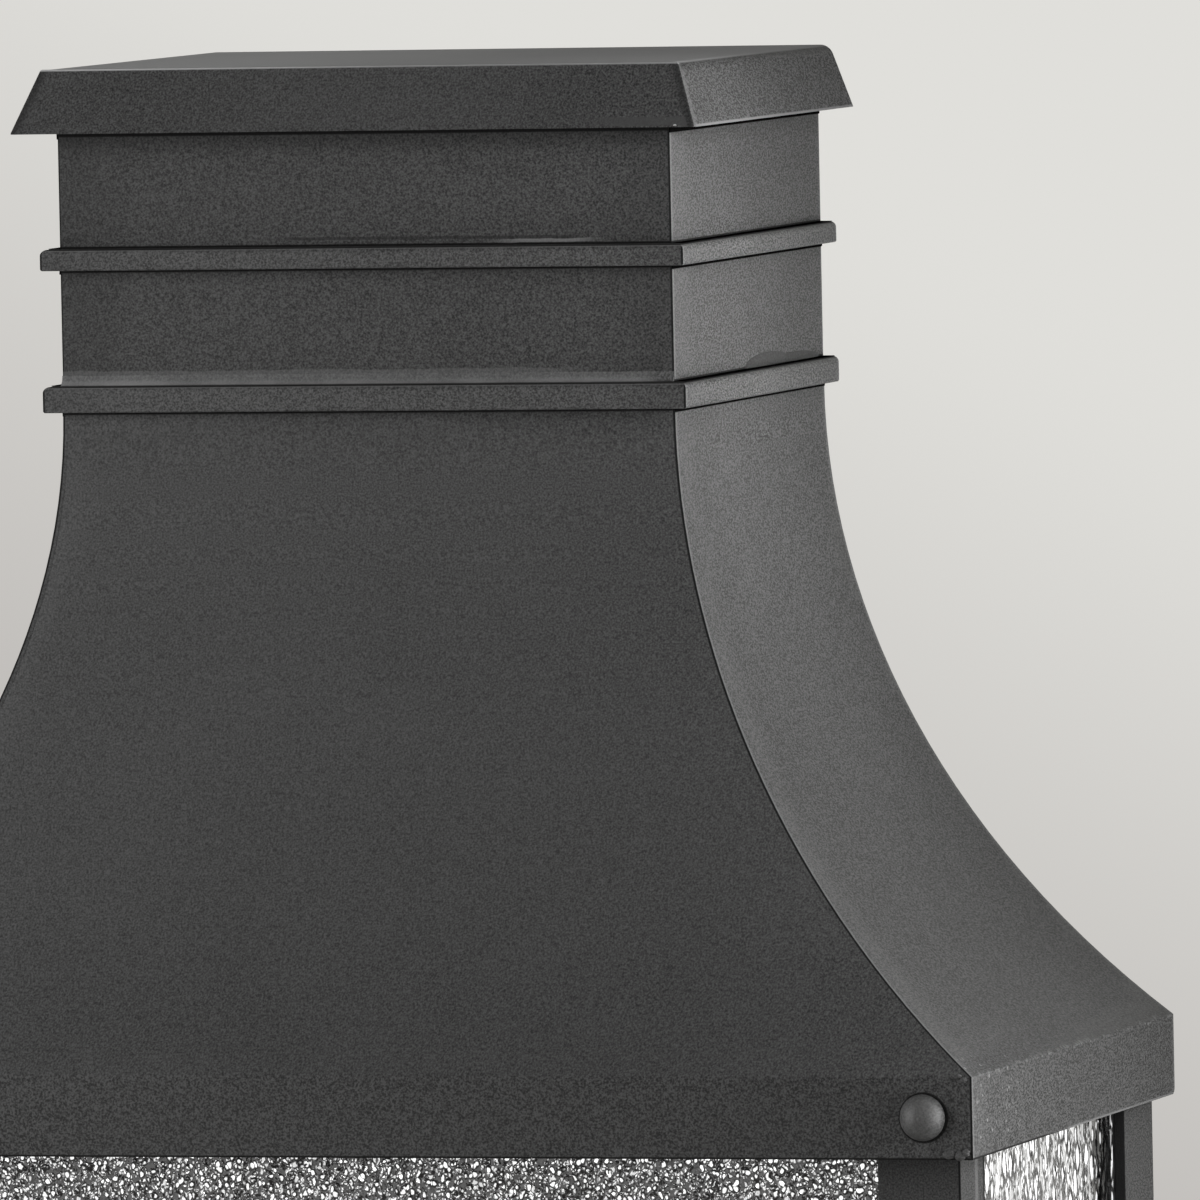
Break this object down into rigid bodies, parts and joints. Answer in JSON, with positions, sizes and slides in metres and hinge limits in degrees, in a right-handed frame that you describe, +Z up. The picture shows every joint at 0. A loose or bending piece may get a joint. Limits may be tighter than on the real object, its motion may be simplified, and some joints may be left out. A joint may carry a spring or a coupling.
{
  "type": "outdoor wall light",
  "caption": "Wall lantern with a flared sheet-metal hood and chimney cap that lifts off a glazed three-sided cage with candle lamps inside.",
  "frame": {"origin": "centre of the crossbar's back face, on the wall", "axes": "+Y into the wall, -Y out to the viewer, +Z up, +X to the right as seen from the front"},
  "size_m": [0.305, 0.1842, 0.5765],
  "materials": {
    "black_coat": "fine textured black powder coat",
    "cage_coat": "fine textured black powder coat",
    "inner_coat": "fine textured black powder coat",
    "screw_coat": "smooth black paint",
    "seeded_glass": "clear, with small seeds and drawn waves",
    "lamp_glass": "clear and thin",
    "lamp_cap": "plain",
    "lamp_filament": "pale amber coating",
    "candle_white": "off-white",
    "holder_plastic": "moulded",
    "plated_steel": "zinc plated",
    "ground_green": "green plated",
    "rubber": "closed-cell foam and moulded rubber",
    "lead_black": "extruded",
    "lead_white": "extruded",
    "lead_green": "extruded",
    "connector_orange": "moulded"
  },
  "bodies": {
    "cage": {"front_right_post": "cage_coat", "front_left_post": "cage_coat", "rear_right_post": "cage_coat", "rear_left_post": "cage_coat", "top_rail_front": "cage_coat", "top_rail_left": "cage_coat", "top_rail_right": "cage_coat", "glass_channels": "inner_coat", "front_glass": "seeded_glass", "left_glass": "seeded_glass", "right_glass": "seeded_glass", "back_pan": "inner_coat", "wall_gasket": "rubber", "crossbar": "plated_steel", "crossbar_studs": "plated_steel", "cap_nuts": "screw_coat", "ground_screw": "ground_green", "base_tray": "cage_coat", "bottom_pan": "cage_coat", "bottom_pan_screws": "screw_coat", "cluster_cup": "inner_coat", "cluster_stem": "inner_coat", "stem_nut": "plated_steel", "cluster_hub": "inner_coat", "arm_right": "inner_coat", "arm_left": "inner_coat", "lamp_bases": "lamp_cap", "lamp_filaments": "lamp_filament", "line_lead": "lead_black", "neutral_lead": "lead_white", "ground_lead": "lead_green", "wire_grommet": "rubber", "wire_connectors": "connector_orange", "drip_pan_left": "inner_coat", "candle_sleeve_left": "candle_white", "lampholder_left": "holder_plastic", "lamp_bulb_left": "lamp_glass", "drip_pan_middle": "inner_coat", "candle_sleeve_middle": "candle_white", "lampholder_middle": "holder_plastic", "lamp_bulb_middle": "lamp_glass", "drip_pan_right": "inner_coat", "candle_sleeve_right": "candle_white", "lampholder_right": "holder_plastic", "lamp_bulb_right": "lamp_glass"},
    "hood": {"hood_front_panel": "black_coat", "hood_right_panel": "black_coat", "hood_left_panel": "black_coat", "hood_rear_panel": "black_coat", "chimney_shell": "black_coat", "lower_band": "black_coat", "upper_band": "black_coat", "cap_front_plate": "black_coat", "cap_cover": "black_coat", "hood_hooks": "inner_coat", "spacer_bushes": "inner_coat", "clamp_plates": "inner_coat"},
    "dome_screw_left": {"dome_screw_left": "screw_coat"},
    "dome_screw_right": {"dome_screw_right": "screw_coat"}
  },
  "joints": [
    {"name": "hood_lift", "type": "slide", "parent": "cage", "child": "hood", "axis": [0, 0, 1], "range_m": [0, 0.08]},
    {"name": "dome_screw_left_turn", "type": "hinge", "parent": "hood", "child": "dome_screw_left", "pos_m": [-0.1411, -0.18, 0.0394], "axis": [0, -1, 0], "range_deg": [0, 720]},
    {"name": "dome_screw_right_turn", "type": "hinge", "parent": "hood", "child": "dome_screw_right", "pos_m": [0.1411, -0.18, 0.0394], "axis": [0, -1, 0], "range_deg": [0, 720]}
  ]
}
